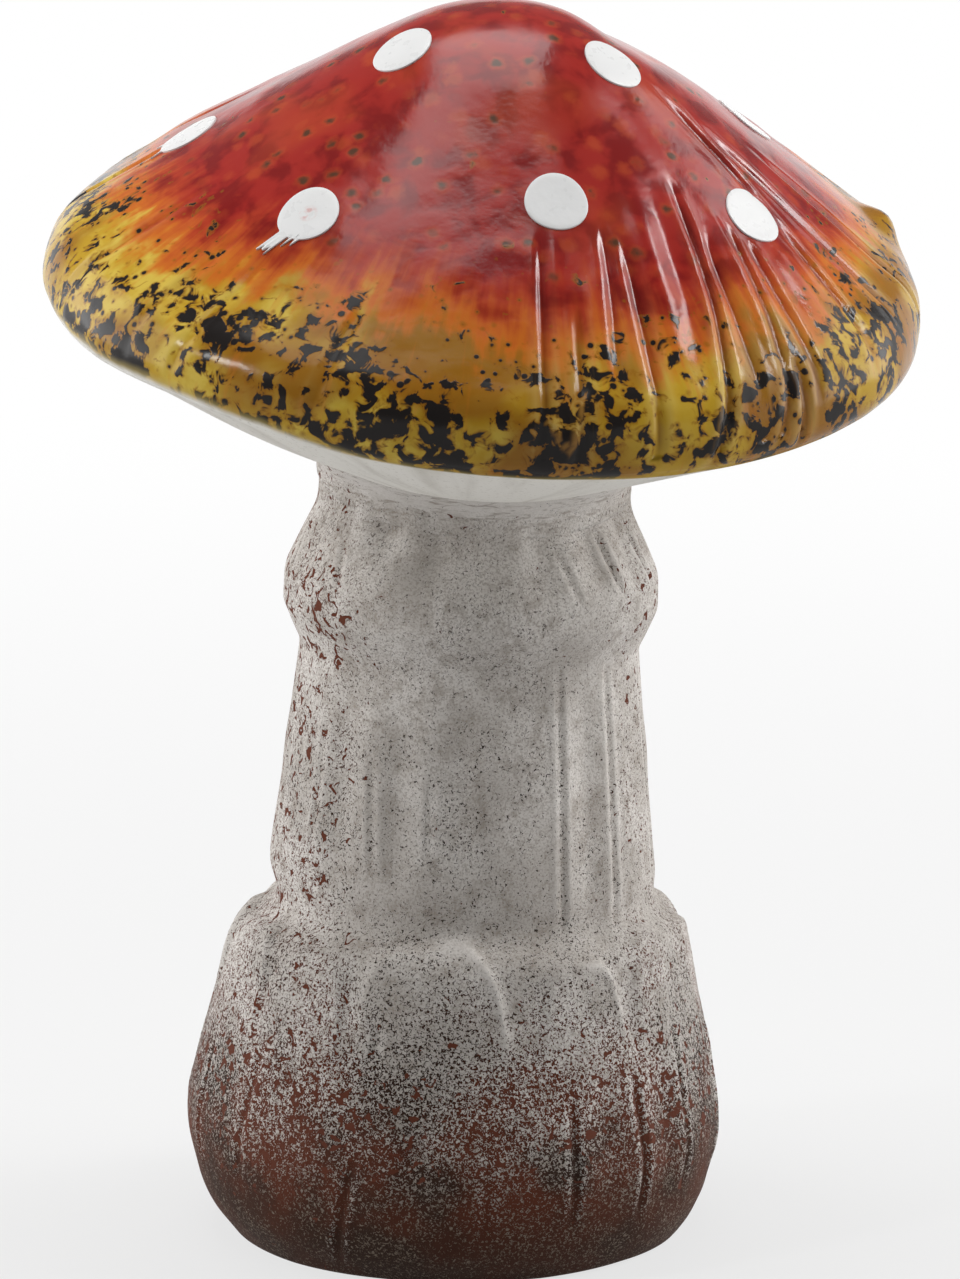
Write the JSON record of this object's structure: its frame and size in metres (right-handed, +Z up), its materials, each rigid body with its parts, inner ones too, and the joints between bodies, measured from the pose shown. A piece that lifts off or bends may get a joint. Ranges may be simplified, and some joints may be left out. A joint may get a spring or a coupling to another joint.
{
  "type": "ceramic mushroom ornament",
  "caption": "Free-standing terracotta mushroom ornament: a tilted glazed red and ochre cap with white dots, luted onto a washed hollow stem with a ring and a bulbous foot.",
  "frame": {"origin": "middle of the ring-shaped foot, on the surface that the ornament stands on", "axes": "+Z up; -Y is the front, towards which the cap tips; +X is to the right seen from the front"},
  "size_m": [0.1462, 0.1435, 0.2121],
  "materials": {
    "stem_wash": "unglazed red-brown terracotta with a rough pale grey wash, thinning to bare brown at the foot",
    "cap_glaze": "high-gloss glaze, crimson at the crown, orange below it, ochre with black spatter at the rim; matt grey-white wash under the lip",
    "joint_slip": "brushed slip under the same pale grey wash",
    "dot_enamel": "thick white enamel, satin gloss"
  },
  "bodies": {
    "root": {"stem": "stem_wash", "cap": "cap_glaze", "joint_bead": "joint_slip", "white_dot_upper_1": "dot_enamel", "white_dot_upper_2": "dot_enamel", "white_dot_upper_3": "dot_enamel", "white_dot_lower_1": "dot_enamel", "white_dot_lower_2": "dot_enamel", "white_dot_lower_3": "dot_enamel", "white_dot_lower_4": "dot_enamel", "white_dot_lower_5": "dot_enamel", "white_dot_lower_6": "dot_enamel", "white_dot_lower_7": "dot_enamel"}
  },
  "joints": []
}
